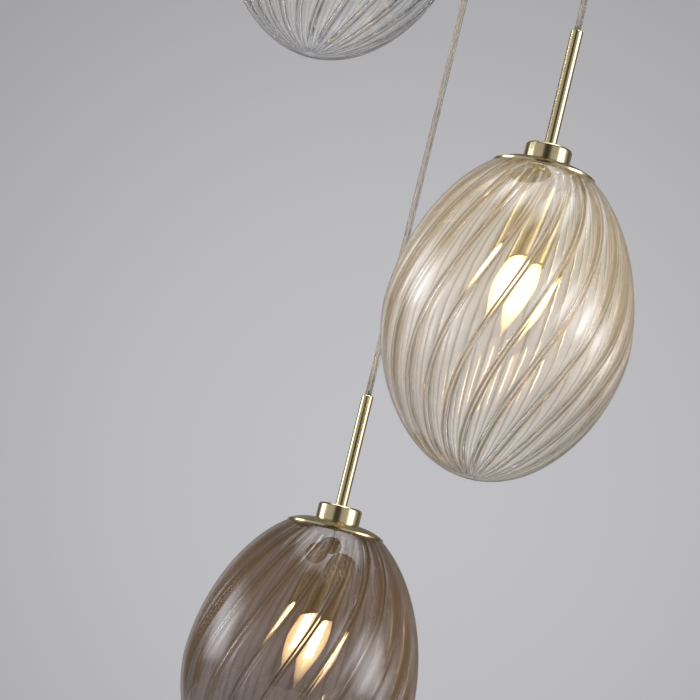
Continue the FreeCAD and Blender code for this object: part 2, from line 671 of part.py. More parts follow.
def main():
    pieces = {
        "mounting_bracket": mountingBracket(),
        "bracket_studs": bracketStuds(),
        "dome_nuts": domeNuts(),
        "earth_screw": earthScrew(),
        "terminal_block": terminalBlock(),
        "canopy_cover": plateCover(),
        "grip_nuts": gripNuts(),
    }
    lampPieces = {
        "stem_bush": stemBush(),
        "stem": stem(),
        "cap": cap(),
        "flange": flange(),
        "shade_gasket": gasket(),
        "shade": shade(),
        "shade_spring": shadeSpring(),
        "socket_sleeve": sleeve(),
        "stem_nut": stemNut(),
        "lamp_holder": lampHolder(),
        "inner_lead": innerLead(),
        "bulb_cap": bulbCap(),
        "bulb_glass": bulbGlass(),
        "bulb_filaments": bulbFilaments(),
    }
    for lamp, (angle, drop) in LAMPS.items():
        place = cordPlace(lamp)
        pieces["cord_grip_" + lamp] = cordGrip(place)
        pieces["cord_tail_" + lamp] = cordTail(lamp)
        cord = hangingCord(lamp)
        cord.translate(place)
        pieces["cord_" + lamp] = cord
        for name, shape in lampPieces.items():
            copy = shape.copy()
            copy.translate(place - Vector(0, 0, drop))
            pieces[name + "_" + lamp] = copy
    os.makedirs("parts", exist_ok=True)
    for name, shape in pieces.items():
        if not shape.isValid():
            print("not valid:", name)
        shape.exportStep("parts/" + name + ".step")
    print(len(pieces), "pieces")


main()
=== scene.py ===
# Cluster pendant: three lamps of ribbed blown glass on clear flex, hung from a round brass ceiling plate.
import bmesh
import bpy
import math
from mathutils import Matrix, Vector


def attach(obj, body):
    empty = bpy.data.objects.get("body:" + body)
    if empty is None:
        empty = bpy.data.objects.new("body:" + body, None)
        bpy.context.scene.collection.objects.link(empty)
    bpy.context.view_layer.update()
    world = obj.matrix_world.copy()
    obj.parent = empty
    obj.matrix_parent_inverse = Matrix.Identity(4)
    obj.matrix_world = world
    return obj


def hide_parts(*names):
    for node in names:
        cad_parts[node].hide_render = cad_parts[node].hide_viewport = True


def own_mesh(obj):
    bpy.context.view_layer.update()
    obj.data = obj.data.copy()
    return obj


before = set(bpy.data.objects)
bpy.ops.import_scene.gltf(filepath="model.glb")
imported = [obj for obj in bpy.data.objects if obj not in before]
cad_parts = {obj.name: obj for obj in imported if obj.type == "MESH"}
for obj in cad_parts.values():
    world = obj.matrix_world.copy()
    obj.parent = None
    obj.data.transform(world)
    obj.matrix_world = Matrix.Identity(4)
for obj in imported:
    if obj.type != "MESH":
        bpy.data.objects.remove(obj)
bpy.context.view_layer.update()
scene = bpy.context.scene

lamps = {   # each cord's direction in degrees, its flange's rim below the ceiling, and how far it draws up
    "clear": {"angle": 210, "drop": 0.304, "raise": 0.1},
    "amber": {"angle": 330, "drop": 0.575, "raise": 0.2},
    "smoke": {"angle": 90, "drop": 0.851, "raise": 0.2},
}
cordCircle = 0.1059      # radius on which the cords leave the plate
for lamp in lamps.values():
    turn = math.radians(lamp["angle"])
    lamp["place"] = Vector((cordCircle * math.cos(turn), cordCircle * math.sin(turn), -lamp["drop"]))


camera = {
    "place": (0.09818, -1.98842, -0.96051),
    "lens": 141.05,
    "sensor": 36,       # width, in millimetres as the lens is
    "turn": -3.2788,    # degrees from +Y towards +X
    "tilt": 6.7275,     # degrees upwards
    "roll": 13.807,
}


def cameraWays():
    # unit vectors to the right of the picture, up it and into it
    turn, tilt, roll = (math.radians(camera[name]) for name in ("turn", "tilt", "roll"))
    ahead = Vector((math.sin(turn) * math.cos(tilt), math.cos(turn) * math.cos(tilt), math.sin(tilt)))
    level = Vector((math.cos(turn), -math.sin(turn), 0))
    upright = level.cross(ahead)
    right = level * math.cos(roll) + upright * math.sin(roll)
    up = upright * math.cos(roll) - level * math.sin(roll)
    return right, up, ahead


def setCamera():
    right, up, ahead = cameraWays()
    data = bpy.data.cameras.new("photoCamera")
    data.lens = camera["lens"]
    data.sensor_width = camera["sensor"]
    seen = bpy.data.objects.new("photoCamera", data)
    matrix = Matrix((right, up, -ahead)).transposed().to_4x4()
    matrix.translation = camera["place"]
    seen.matrix_world = matrix
    scene.collection.objects.link(seen)
    scene.camera = seen


setCamera()
print("camera set")


class Wire:
    # one socket of a node tree, so that sums on sockets read as sums
    def __init__(self, board, socket):
        self.board = board
        self.socket = socket

    def out(self, name):
        return Wire(self.board, self.socket.node.outputs[name])

    def sum(self, operation, *values):
        return self.board.add("ShaderNodeMath", {"operation": operation}, dict(enumerate(values)))

    def __add__(self, other):
        return self.sum("ADD", self, other)

    def __radd__(self, other):
        return self.sum("ADD", other, self)

    def __sub__(self, other):
        return self.sum("SUBTRACT", self, other)

    def __rsub__(self, other):
        return self.sum("SUBTRACT", other, self)

    def __mul__(self, other):
        return self.sum("MULTIPLY", self, other)

    def __rmul__(self, other):
        return self.sum("MULTIPLY", other, self)

    def __truediv__(self, other):
        return self.sum("DIVIDE", self, other)

    def __rtruediv__(self, other):
        return self.sum("DIVIDE", other, self)

    def __lt__(self, other):
        return self.sum("LESS_THAN", self, other)

    def __gt__(self, other):
        return self.sum("GREATER_THAN", self, other)


class Board:
    # a node tree and the one way of adding a node to it
    def __init__(self, tree):
        self.tree = tree

    def add(self, kind, settings=None, inputs=None):
        node = self.tree.nodes.new(kind)
        for name, value in (settings or {}).items():
            if name == "stops":
                ramp = node.color_ramp
                while len(ramp.elements) < len(value):
                    ramp.elements.new(0.5)
                for element, (at, colour) in zip(ramp.elements, value):
                    element.position = at
                    element.color = (*colour, 1)
            else:
                setattr(node, name, value)
        for name, value in (inputs or {}).items():
            if isinstance(value, Wire):
                self.tree.links.new(value.socket, node.inputs[name])
            else:
                node.inputs[name].default_value = value
        return Wire(self, next((s for s in node.outputs if s.enabled), None) if node.outputs else None)

    def mixColours(self, share, first, second):
        first, second = ((*c, 1) if isinstance(c, tuple) else c for c in (first, second))
        return self.add("ShaderNodeMix", {"data_type": "RGBA"}, {0: share, 6: first, 7: second})

    def noise(self, coords, scale, detail, roughness=0.5):
        return self.add("ShaderNodeTexNoise", {}, {"Vector": coords, "Scale": scale, "Detail": detail,
                                                   "Roughness": roughness})

    def between(self, value, low, high):
        # 0 below low, 1 above high, smooth in the middle; the other way round where low is the larger
        return self.add("ShaderNodeMapRange", {"interpolation_type": "SMOOTHSTEP"},
                        {"Value": value, "From Min": low, "From Max": high})

    def stretched(self, coords, scale):
        return self.add("ShaderNodeMapping", {}, {"Vector": coords, "Scale": scale})

    def bump(self, height, distance):
        return self.add("ShaderNodeBump", {}, {"Height": height, "Distance": distance, "Strength": 1.0})


def newMaterial(name):
    material = bpy.data.materials.new(name)
    material.use_nodes = True
    material.node_tree.nodes.clear()
    board = Board(material.node_tree)
    coords = board.add("ShaderNodeTexCoord").out("Object")
    return material, board, coords


def finishMaterial(board, surface, volume=None):
    inputs = {"Surface": surface}
    if volume:
        inputs["Volume"] = volume
    board.add("ShaderNodeOutputMaterial", {}, inputs)


def newTree(name, inputs):
    # a geometry tree with its named inputs, and their sockets by name
    tree = bpy.data.node_groups.new(name, "GeometryNodeTree")
    sockets = {}
    for label, kind in inputs:
        sockets[label] = tree.interface.new_socket(name=label, in_out="INPUT",
                                                   socket_type="NodeSocket" + kind)
    tree.interface.new_socket(name="Geometry", in_out="OUTPUT", socket_type="NodeSocketGeometry")
    board = Board(tree)
    return sockets, board, board.add("NodeGroupInput")


def finishTree(board, given, shape):
    smooth = board.add("GeometryNodeSetShadeSmooth", {}, {"Geometry": shape})
    real = board.add("GeometryNodeRealizeInstances", {}, {"Geometry": smooth})
    dressed = board.add("GeometryNodeSetMaterial", {}, {"Geometry": real, "Material": given.out("Material")})
    board.add("NodeGroupOutput", {}, {"Geometry": dressed})


def growNodes(name, board, sockets, values):
    # one plain mesh from a geometry tree and the values of its named inputs
    maker = bpy.data.objects.new(name + "Maker", bpy.data.meshes.new(name + "Maker"))
    scene.collection.objects.link(maker)
    modifier = maker.modifiers.new("shape", "NODES")
    modifier.node_group = board.tree
    for label, value in values.items():
        modifier[sockets[label].identifier] = value
    graph = bpy.context.evaluated_depsgraph_get()
    mesh = bpy.data.meshes.new_from_object(maker.evaluated_get(graph))
    maker.modifiers.remove(modifier)
    old = maker.data
    bpy.data.objects.remove(maker)
    bpy.data.meshes.remove(old)
    mesh.name = name
    piece = bpy.data.objects.new(name, mesh)
    scene.collection.objects.link(piece)
    return piece


def rising(distance, run):
    # 0 before the start, 1 once the distance from it is the whole run
    return min(1.0, max(0.0, distance / run))


flex = {
    "diameter": 0.0048,
    "conductor": 0.00085,     # radius of one stranded conductor
    "apart": 0.00115,         # each conductor from the cord's middle
    "sides": 32,
    "wireSides": 16,
    "tailSides": 24,
    "tailWireSides": 12,
    "tailSteps": 60,
    "pivot": -0.044,          # where the cord bends in its grip
    "ballAboveRim": 0.104,
    "endBelowBall": 0.0017,
}
tailRoutes = {   # inside the plate, from each grip to the terminal block
    "clear": [(-0.09171, -0.05295, -0.024), (-0.09171, -0.05295, -0.0095), (-0.0576, -0.02828, -0.0095),
              (-0.0105, -0.0345, -0.0095), (-0.0105, -0.0085, -0.0095)],
    "amber": [(0.09171, -0.05295, -0.024), (0.09171, -0.05295, -0.0095), (0.0576, -0.02828, -0.0095),
              (0.0105, -0.0345, -0.0095), (0.0105, -0.0085, -0.0095)],
    "smoke": [(0.0, 0.1059, -0.024), (0.0, 0.1059, -0.00979), (0.006, 0.0535, -0.0095),
              (0.0, 0.0085, -0.0095)],
}


def flexOuter():
    # clear sheath of the cord, with faint upright streaks of haze
    material, board, coords = newMaterial("flexOuter")
    haze = board.noise(board.stretched(coords, (1, 1, 0.15)), scale=900, detail=3)
    glassy = board.add("ShaderNodeBsdfPrincipled", {}, {
        "Base Color": board.mixColours(haze, (0.93, 0.90, 0.84), (0.99, 0.98, 0.96)),
        "Roughness": 0.06 + haze * 0.08, "IOR": 1.38, "Transmission Weight": 1.0})
    isShadow = board.add("ShaderNodeLightPath").out("Is Shadow Ray")
    through = board.add("ShaderNodeBsdfTransparent", {}, {"Color": (0.92, 0.91, 0.88, 1)})
    finishMaterial(board, board.add("ShaderNodeMixShader", {}, {0: isShadow, 1: glassy, 2: through}))
    return material


def strandedMetal(name, low, high):
    # fine wires laid side by side, with painted shade in the gaps between them
    material, board, coords = newMaterial(name)
    wires = board.noise(board.stretched(coords, (1, 1, 0.35)), scale=2600, detail=2)
    # the low colour is painted shade in the gaps between the wires
    shade = board.add("ShaderNodeValToRGB", {"stops": [(0.35, low), (0.62, high)]}, {"Fac": wires})
    finishMaterial(board, board.add("ShaderNodeBsdfPrincipled", {}, {
        "Base Color": shade, "Metallic": 0.85, "Roughness": 0.34,
        "Normal": board.bump(wires, distance=0.0002)}))
    return material


def routePoints(route):
    # the points of the smooth line that goes with these control points
    data = bpy.data.curves.new("route", "CURVE")
    data.dimensions = "3D"
    data.resolution_u = 16
    spline = data.splines.new("NURBS")
    spline.points.add(len(route) - 1)
    for point, at in zip(spline.points, route):
        point.co = (*at, 1)
    spline.order_u = 3
    spline.use_endpoint_u = True
    line = bpy.data.objects.new("route", data)
    mesh = bpy.data.meshes.new_from_object(line)
    points = [v.co.copy() for v in mesh.vertices]
    bpy.data.objects.remove(line)
    bpy.data.curves.remove(data)
    bpy.data.meshes.remove(mesh)
    return points


def tube(name, points, radius, sides, material, aside=0.0):
    # a closed tube along the points; aside moves it off the line, to the right of the way the line runs down
    mesh = bpy.data.meshes.new(name)
    build = bmesh.new()
    rings = []
    across = Vector((1, 0, 0))
    for i, at in enumerate(points):
        ahead = (points[min(i + 1, len(points) - 1)] - points[max(i - 1, 0)]).normalized()
        across = (across - ahead * across.dot(ahead)).normalized()
        third = ahead.cross(across)
        middle = at + across * aside
        ring = []
        for k in range(sides):
            turn = 2 * math.pi * k / sides
            ring.append(build.verts.new(middle + (across * math.cos(turn) + third * math.sin(turn)) * radius))
        rings.append(ring)
    for first, second in zip(rings, rings[1:]):
        for k in range(sides):
            j = (k + 1) % sides
            build.faces.new((first[k], first[j], second[j], second[k])).smooth = True
    build.faces.new(reversed(rings[0]))
    build.faces.new(rings[-1])
    bmesh.ops.recalc_face_normals(build, faces=build.faces)
    build.to_mesh(mesh)
    build.free()
    piece = bpy.data.objects.new(name, mesh)
    scene.collection.objects.link(piece)
    mesh.materials.append(material)
    return piece


def evenly(points, count):
    # the same line with points at even steps
    lengths = [0.0]
    for a, b in zip(points, points[1:]):
        lengths.append(lengths[-1] + (b - a).length)
    found = []
    for i in range(count + 1):
        target = lengths[-1] * i / count
        k = max(j for j in range(len(lengths) - 1) if lengths[j] <= target + 1e-12)
        share = (target - lengths[k]) / max(lengths[k + 1] - lengths[k], 1e-12)
        found.append(points[k].lerp(points[k + 1], min(1.0, share)))
    return found


def lineLength(points):
    return sum((b - a).length for a, b in zip(points, points[1:]))


def makeCords():
    outer = flexOuter()
    copper = strandedMetal("copperStrands", (0.42, 0.35, 0.29), (0.88, 0.77, 0.65))
    tinned = strandedMetal("tinnedStrands", (0.24, 0.23, 0.22), (0.78, 0.77, 0.74))
    for name, lamp in lamps.items():
        place = lamp["place"]
        top = Vector((place.x, place.y, flex["pivot"]))
        bottom = Vector((place.x, place.y, place.z + flex["ballAboveRim"] - flex["endBelowBall"]))
        line = routePoints([top, top.lerp(bottom, 0.5), bottom])
        length = lineLength(line)
        for label, radius, sides, material, aside in (
                ("Outer", flex["diameter"] / 2, flex["sides"], outer, 0.0),
                ("Copper", flex["conductor"], flex["wireSides"], copper, -flex["apart"]),
                ("Tinned", flex["conductor"], flex["wireSides"], tinned, flex["apart"])):
            part = tube("cord" + label + name.capitalize(), line, radius, sides, material, aside)
            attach(part, "cord_" + name)
            (length - lamp["raise"]) / length
            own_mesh(part)
        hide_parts("cord_" + name)
        line = evenly(routePoints([Vector(p) for p in tailRoutes[name]]), flex["tailSteps"])
        tail = tube("tailOuter" + name.capitalize(), line, flex["diameter"] / 2, flex["tailSides"], outer)
        inside = []
        for label, material, aside in (("Copper", copper, -flex["apart"]), ("Tinned", tinned, flex["apart"])):
            inside.append(tube("tail" + label + name.capitalize(), line, flex["conductor"],
                               flex["tailWireSides"], material, aside))
        for part in [tail] + inside:
            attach(part, "canopy")
        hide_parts("cord_tail_" + name)
        lineLength(line)
        print("cord", name, round(length, 4), "tail", round(lineLength(line), 4))


makeCords()


glass = {
    "radius": 0.0895,
    "widest": 0.1165,        # widest level below the rim
    "crown": 0.013,          # the upper curve would close this far above the rim
    "lowerAxis": 0.110,
    "upperPower": 1.82,
    "lowerPower": 1.73,
    "wall": 0.003,
    "shoulderWall": 0.0065,
    "poleWall": 0.0035,
    "neckHole": 0.021,
    "neckLip": 0.024,
    "lipChamfer": ((0.0012, 0.0003), (0.0, 0.0013)),   # out from the hole, and above the lip
    "neckChamfer": 0.0006,
    "rimChamfer": 0.0008,
    "neckSteps": 7,
    "capRadius": 0.017,      # the saucer is flat over this radius
    "flangeRadius": 0.0375,
    "flangeRise": 0.0056,
    "washer": 0.0006,
    "rows": 112,             # on each side of the wall
    "ribs": 22,
    "columnsPerRib": 18,
    "bunching": 0.55,        # how much closer the columns stand at a rib
    "twist": math.radians(270),   # turn for each metre of height
    "ribHeight": 0.0009,
    "ribWidth": 0.0021,      # half the width of the round bead on each rib
    "panelHollow": 0.0018,   # how far the inside falls back half way between two ribs
    "outsideGroove": 1.0,    # share of it that the outside follows, as a groove along each rib
    "creaseRound": 0.04,     # of a panel's width
    "widestBead": 0.24,      # half a bead's width is at most this share of the space between two ribs
    "beadPower": 0.7,        # 0.5 is a half round, 1 a flatter arch
    "clearPole": 0.006,      # the ribs have gone at this radius
    "poleRun": 1.6,          # and come back over this many times it
    "lipOver": 0.0015,       # the ribs inside fade towards a level this far above the lip
    "lipRun": 0.004,         # over this height
    "rimRun": 0.01,          # and outside over this height below the rim
    "fading": 60,            # hollows and waves fade in over 1/60 m of rib spacing and of radius
    "bulbBelow": 0.090,      # middle of the bulb's light below the rim
    "waviness": 0.00005,
    "wavesPerMetre": 150,
    "seed": {"clear": 3, "amber": 11, "smoke": 27},
    "insideSeed": 7.3,       # added to the seed on the inner side
}


def eggRadius(level, radius, upper, lower):
    height = level + glass["widest"]
    axis, power = (upper, glass["upperPower"]) if height > 0 else (lower, glass["lowerPower"])
    return radius * math.sqrt(max(0.0, 1 - (abs(height) / axis) ** power))


def eggLine(start, end, radius, upper, lower, count):
    # points from one level to another, closer together where the egg curves most
    def turnAt(level):
        height = level + glass["widest"]
        return math.asin(max(-1, min(1, height / (upper if level > -glass["widest"] else lower))))

    first, last = turnAt(start), turnAt(end)
    points = []
    for i in range(count):
        turn = first + (last - first) * i / (count - 1)
        level = -glass["widest"] + (upper if turn > 0 else lower) * math.sin(turn)
        points.append((eggRadius(level, radius, upper, lower), level))
    return points


def saucerLevel(r, below):
    # level of the arc that runs this far below the saucer's own
    run = glass["flangeRadius"] - glass["capRadius"]
    arc = (run ** 2 + glass["flangeRise"] ** 2) / (2 * glass["flangeRise"])
    return glass["flangeRise"] - arc + math.sqrt((arc - below) ** 2 - max(0.0, r - glass["capRadius"]) ** 2)


def glassProfile():
    # up the inside from the pole, over the neck, down the outside; each point has its ribs' strength
    widest = glass["widest"]
    upper, lower = widest + glass["crown"], glass["lowerAxis"]
    innerUpper, innerLower = upper - glass["shoulderWall"], lower - glass["poleWall"]
    innerRadius = glass["radius"] - glass["wall"]
    lip = glass["neckLip"]
    lipLevel = innerUpper * (1 - (lip / innerRadius) ** 2) ** (1 / glass["upperPower"]) - widest
    inside = eggLine(-widest - innerLower, lipLevel, innerRadius, innerUpper, innerLower, glass["rows"])
    inside[0] = (0.0, inside[0][1])
    inside[-1] = (lip, lipLevel)
    start = -glass["washer"]
    outside = eggLine(start, -widest - lower, glass["radius"], upper, lower, glass["rows"])
    outside[-1] = (0.0, outside[-1][1])
    hole = glass["neckHole"]
    rim = outside[0][0]
    neck = [(hole + out, lipLevel + up) for out, up in glass["lipChamfer"]]
    chamfer, steps = glass["neckChamfer"], glass["neckSteps"]
    topLevel = saucerLevel(hole, glass["washer"])
    neck += [(hole, topLevel - chamfer), (hole + chamfer, topLevel)]
    for i in range(1, steps + 1):
        r = hole + (rim - glass["rimChamfer"] - hole) * i / steps
        neck.append((r, saucerLevel(r, glass["washer"])))
    points = []
    pole = glass["clearPole"]
    poleRun = glass["poleRun"] * pole
    for r, z in inside:
        fade = rising(r - pole, poleRun) * rising(lipLevel + glass["lipOver"] - z, glass["lipRun"])
        points.append((r, z, fade))
    points += [(r, z, 0.0) for r, z in neck]
    for r, z in outside:
        fade = rising(r - pole, poleRun) * rising(start - z, glass["rimRun"])
        points.append((r, z, -fade * glass["outsideGroove"]))
    return points, len(inside)


def glassTree():
    # a flat grid rolled up along the profile, with its ribs, hollows and waves added on the way
    sockets, board, given = newTree("ribbedGlass", (
        ("Profile", "Object"), ("Rows", "Int"), ("Inside Rows", "Int"), ("Ribs", "Int"),
        ("Columns per Rib", "Int"), ("Bunching", "Float"), ("Twist", "Float"), ("Rib Height", "Float"),
        ("Rib Width", "Float"), ("Panel Hollow", "Float"), ("Crease Round", "Float"), ("Waviness", "Float"),
        ("Waves per Metre", "Float"), ("Seed", "Float"), ("Place", "Vector"), ("Material", "Material")))
    ribs, lastRow = given.out("Ribs"), given.out("Rows") - 1
    columns = ribs * given.out("Columns per Rib") + 1
    grid = board.add("GeometryNodeMeshGrid", {}, {"Size X": 1.0, "Size Y": 1.0, "Vertices X": columns,
                                                  "Vertices Y": given.out("Rows")})
    at = board.add("ShaderNodeSeparateXYZ", {}, {0: board.add("GeometryNodeInputPosition")})
    aroundRibs = (at.out("X") + 0.5) * ribs
    row = aroundRibs.sum("ROUND", (at.out("Y") + 0.5) * lastRow)
    local = aroundRibs.sum("FRACT", aroundRibs)
    local = local - given.out("Bunching") * local.sum("SINE", local * (2 * math.pi)) / (2 * math.pi)
    around = aroundRibs.sum("FLOOR", aroundRibs) + local
    offRib = local.sum("MINIMUM", local, 1 - local)

    profile = board.add("GeometryNodeObjectInfo", {}, {"Object": given.out("Profile")}).out("Geometry")

    def fromProfile(kind, value):
        return board.add("GeometryNodeSampleIndex", {"data_type": kind, "domain": "POINT"},
                         {"Geometry": profile, "Value": value, "Index": row})

    position = fromProfile("FLOAT_VECTOR", board.add("GeometryNodeInputPosition"))
    spot = board.add("ShaderNodeSeparateXYZ", {}, {0: position})
    tangent = fromProfile("FLOAT_VECTOR", board.add("GeometryNodeInputTangent"))
    along = board.add("ShaderNodeSeparateXYZ", {}, {0: tangent})
    strength = fromProfile("FLOAT", board.add("GeometryNodeInputRadius"))
    radius, level = spot.out("X"), spot.out("Z")

    pitch = radius * (2 * math.pi) / ribs
    width = pitch.sum("MINIMUM", given.out("Rib Width"), pitch * glass["widestBead"])
    width = width.sum("MAXIMUM", width, 1e-6)
    away = offRib * pitch / width
    ridge = away.sum("POWER", away.sum("MAXIMUM", 1 - away * away, 0.0), glass["beadPower"])
    crease = given.out("Crease Round")
    fromMiddle = 1 - 2 * offRib.sum("SQRT", offRib * offRib + crease * crease)
    hollow = fromMiddle * fromMiddle * pitch.sum("MINIMUM", 1.0, pitch * glass["fading"])
    angle = around * (2 * math.pi) / ribs + given.out("Twist") * level

    cosine, sine = angle.sum("COSINE", angle), angle.sum("SINE", angle)
    onWall = board.add("ShaderNodeCombineXYZ", {}, {"X": radius * cosine, "Y": radius * sine, "Z": level})
    isInside = row < given.out("Inside Rows")
    waves = board.add("ShaderNodeTexNoise", {"noise_dimensions": "4D"}, {
        "Vector": onWall, "W": given.out("Seed") + isInside * glass["insideSeed"],
        "Scale": given.out("Waves per Metre"), "Detail": 1.0}) - 0.5
    wavesFade = radius.sum("MINIMUM", 1.0, radius * glass["fading"])
    relief = strength * (ridge * isInside * given.out("Rib Height") + hollow * given.out("Panel Hollow"))
    height = relief + waves * wavesFade * 2 * given.out("Waviness")
    offPole = radius > 1e-5
    newRadius = radius.sum("MAXIMUM", radius - height * along.out("Z"), 0.0) * offPole
    newLevel = level + height * along.out("X") * offPole
    moved = board.add("ShaderNodeCombineXYZ", {}, {
        "X": newRadius * cosine, "Y": newRadius * sine, "Z": newLevel})
    moved = board.add("ShaderNodeVectorMath", {"operation": "ADD"}, {0: moved, 1: given.out("Place")})
    # the shares are stored while the grid is still flat, because they are worked out from its own places
    ribShare = ridge * strength.sum("MINIMUM", strength.sum("ABSOLUTE", strength), 1.0)
    marked = grid
    for label, value in (("ribShare", ribShare), ("innerSide", isInside)):
        marked = board.add("GeometryNodeStoreNamedAttribute", {"data_type": "FLOAT", "domain": "POINT"},
                           {"Geometry": marked, "Name": label, "Value": value})
    shaped = board.add("GeometryNodeSetPosition", {}, {"Geometry": marked, "Position": moved})
    closed = board.add("GeometryNodeMergeByDistance", {}, {"Geometry": shaped, "Distance": 2e-6})
    finishTree(board, given, closed)
    return board, sockets


def signedVolume(mesh):
    mesh.calc_loop_triangles()
    total = 0.0
    for triangle in mesh.loop_triangles:
        a, b, c = (mesh.vertices[i].co for i in triangle.vertices)
        total += a.dot(b.cross(c)) / 6
    return total


blown = {   # what the three tints share
    "ior": 1.5,
    "shine": 0.6,
    "cloudSpan": 0.6,        # how far the pane's two colours mix, from cloudLow upwards
    "cloudLow": 0.2,
    "flankShadePower": 0.55,      # below 1, the painted dark line beside a rib is broader
    "lustre": 1.0,           # clear coat on the inner side, which brings out the bulb's reflections
    "lustreIor": 2.1,
    "ripples": 170,          # in a metre
    "rippleStretch": (0.5, 0.5, 1.0),
    "rippleDepth": 0.00008,
    "paintedGlowReach": 0.085,      # the painted glow is full up to this far from the bulb's middle
    "paintedGlowPower": 4.0,
}
glassTints = {   # haze is painted glow: the bulb's light painted as emission on the glass, as if scattered in it
    # flank is the colour of the painted shade beside each rib
    "clear": {
        "pane": (1.0, 1.0, 1.0), "paneDeep": (0.99, 0.99, 0.99),
        "rib": (0.90, 0.89, 0.88), "ribDepth": 0.4,
        "flank": (0.34, 0.33, 0.32), "flankShadeDepth": 0.9,
        "depth": (0.80, 0.82, 0.84), "density": 2.0,
        "shadow": (0.95, 0.95, 0.95), "haze": (0.034, 0.033, 0.033)},
    "amber": {
        "pane": (1.0, 0.99, 0.97), "paneDeep": (0.99, 0.97, 0.94),
        "rib": (0.92, 0.80, 0.60), "ribDepth": 0.5,
        "flank": (0.15, 0.085, 0.032), "flankShadeDepth": 0.95,
        "depth": (0.84, 0.66, 0.38), "density": 5.0,
        "shadow": (0.95, 0.92, 0.86), "haze": (0.062, 0.047, 0.027)},
    "smoke": {
        "pane": (0.56, 0.54, 0.55), "paneDeep": (0.38, 0.365, 0.37),
        "rib": (0.55, 0.48, 0.43), "ribDepth": 0.5,
        "flank": (0.03, 0.024, 0.018), "flankShadeDepth": 0.95,
        "depth": (0.46, 0.43, 0.42), "density": 30.0,
        "shadow": (0.66, 0.62, 0.58), "haze": (0.036, 0.020, 0.007)},
}


def blownGlass(name, tints, bulbMiddle):
    # tinted in its skin and its depth, deeper along the ribs, with painted shade beside them, a painted glow
    # near the bulb, and a rippled and lustrous inner side
    material, board, coords = newMaterial(name)
    rib = board.add("ShaderNodeAttribute", {"attribute_name": "ribShare"}).out("Fac")
    inner = board.add("ShaderNodeAttribute", {"attribute_name": "innerSide"}).out("Fac")
    cloud = board.noise(coords, scale=22, detail=2)
    skin = board.mixColours(cloud * blown["cloudSpan"] + blown["cloudLow"], tints["pane"], tints["paneDeep"])
    flank = 4 * rib * (1 - rib)      # painted shade: a dark line down each side of a rib, where the rib's sides bend in the dark of the room
    flank = flank.sum("POWER", flank.sum("MAXIMUM", flank, 0.0), blown["flankShadePower"]) * inner
    deep = board.mixColours(rib * inner * tints["ribDepth"], skin, tints["rib"])
    colour = board.mixColours(flank * tints["flankShadeDepth"], deep, tints["flank"])
    ripple = board.noise(board.stretched(coords, blown["rippleStretch"]), scale=blown["ripples"],
                         detail=1, roughness=0.4)
    away = board.add("ShaderNodeVectorMath", {"operation": "DISTANCE"}, {0: coords, 1: tuple(bulbMiddle)})
    away = away.out("Value")
    nearBulb = away.sum("POWER", blown["paintedGlowReach"] / away, blown["paintedGlowPower"])
    nearBulb = nearBulb.sum("MINIMUM", nearBulb, 1.0)
    # painted glow: warm emission on the glass, strongest near the bulb, standing in for the bulb's light
    # scattered in it
    haze = board.mixColours(nearBulb, (0.0, 0.0, 0.0), tints["haze"])
    pane = board.add("ShaderNodeBsdfPrincipled", {}, {
        "Base Color": colour, "Roughness": 0.0, "IOR": blown["ior"], "Transmission Weight": 1.0,
        "Specular IOR Level": blown["shine"], "Emission Color": haze, "Emission Strength": 1.0,
        "Coat Weight": inner * blown["lustre"], "Coat Roughness": 0.0, "Coat IOR": blown["lustreIor"],
        "Normal": board.bump(ripple * inner, distance=blown["rippleDepth"])})
    isShadow = board.add("ShaderNodeLightPath").out("Is Shadow Ray")
    through = board.add("ShaderNodeBsdfTransparent", {}, {"Color": (*tints["shadow"], 1)})
    surface = board.add("ShaderNodeMixShader", {}, {0: isShadow, 1: pane, 2: through})
    depth = board.add("ShaderNodeVolumeAbsorption", {}, {
        "Color": (*tints["depth"], 1), "Density": tints["density"]})
    finishMaterial(board, surface, depth)
    return material


def makeShades():
    points, insideRows = glassProfile()
    data = bpy.data.curves.new("glassProfile", "CURVE")
    data.dimensions = "3D"
    spline = data.splines.new("POLY")
    spline.points.add(len(points) - 1)
    for point, (r, z, strength) in zip(spline.points, points):
        point.co = (r, 0, z, 1)
        point.radius = strength
    profile = bpy.data.objects.new("glassProfile", data)
    scene.collection.objects.link(profile)
    board, sockets = glassTree()
    for name, lamp in lamps.items():
        bulbMiddle = lamp["place"] + Vector((0, 0, -glass["bulbBelow"]))
        material = blownGlass("glass" + name.capitalize(), glassTints[name], bulbMiddle)
        shade = growNodes("shade" + name.capitalize(), board, sockets, {
            "Profile": profile, "Rows": len(points), "Inside Rows": insideRows, "Ribs": glass["ribs"],
            "Columns per Rib": glass["columnsPerRib"], "Bunching": glass["bunching"], "Twist": glass["twist"],
            "Rib Height": glass["ribHeight"], "Rib Width": glass["ribWidth"],
            "Panel Hollow": glass["panelHollow"], "Crease Round": glass["creaseRound"],
            "Waviness": glass["waviness"], "Waves per Metre": glass["wavesPerMetre"],
            "Seed": float(glass["seed"][name]), "Place": tuple(lamp["place"]), "Material": material})
        if signedVolume(shade.data) < 0:
            shade.data.flip_normals()
        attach(shade, "lamp_" + name)
        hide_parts("shade_" + name)
        volume = round(signedVolume(shade.data) * 1e6, 1)
        print("shade", name, len(shade.data.polygons), "faces, glass", volume, "cm3")
    bpy.data.objects.remove(profile)


makeShades()


def smoothLine(points, steps):
    # a smooth line through all the points, with this many steps from one to the next
    found = []
    for i in range(len(points) - 1):
        p = [Vector(points[max(0, min(len(points) - 1, k))]) for k in (i - 1, i, i + 1, i + 2)]
        for s in range(steps):
            t = s / steps
            found.append(0.5 * (2 * p[1] + (p[2] - p[0]) * t + (2 * p[0] - 5 * p[1] + 4 * p[2] - p[3]) * t * t
                                + (3 * p[1] - p[0] - 3 * p[2] + p[3]) * t ** 3))
    found.append(Vector(points[-1]))
    return [(max(0.0, v.x), v.y) for v in found]


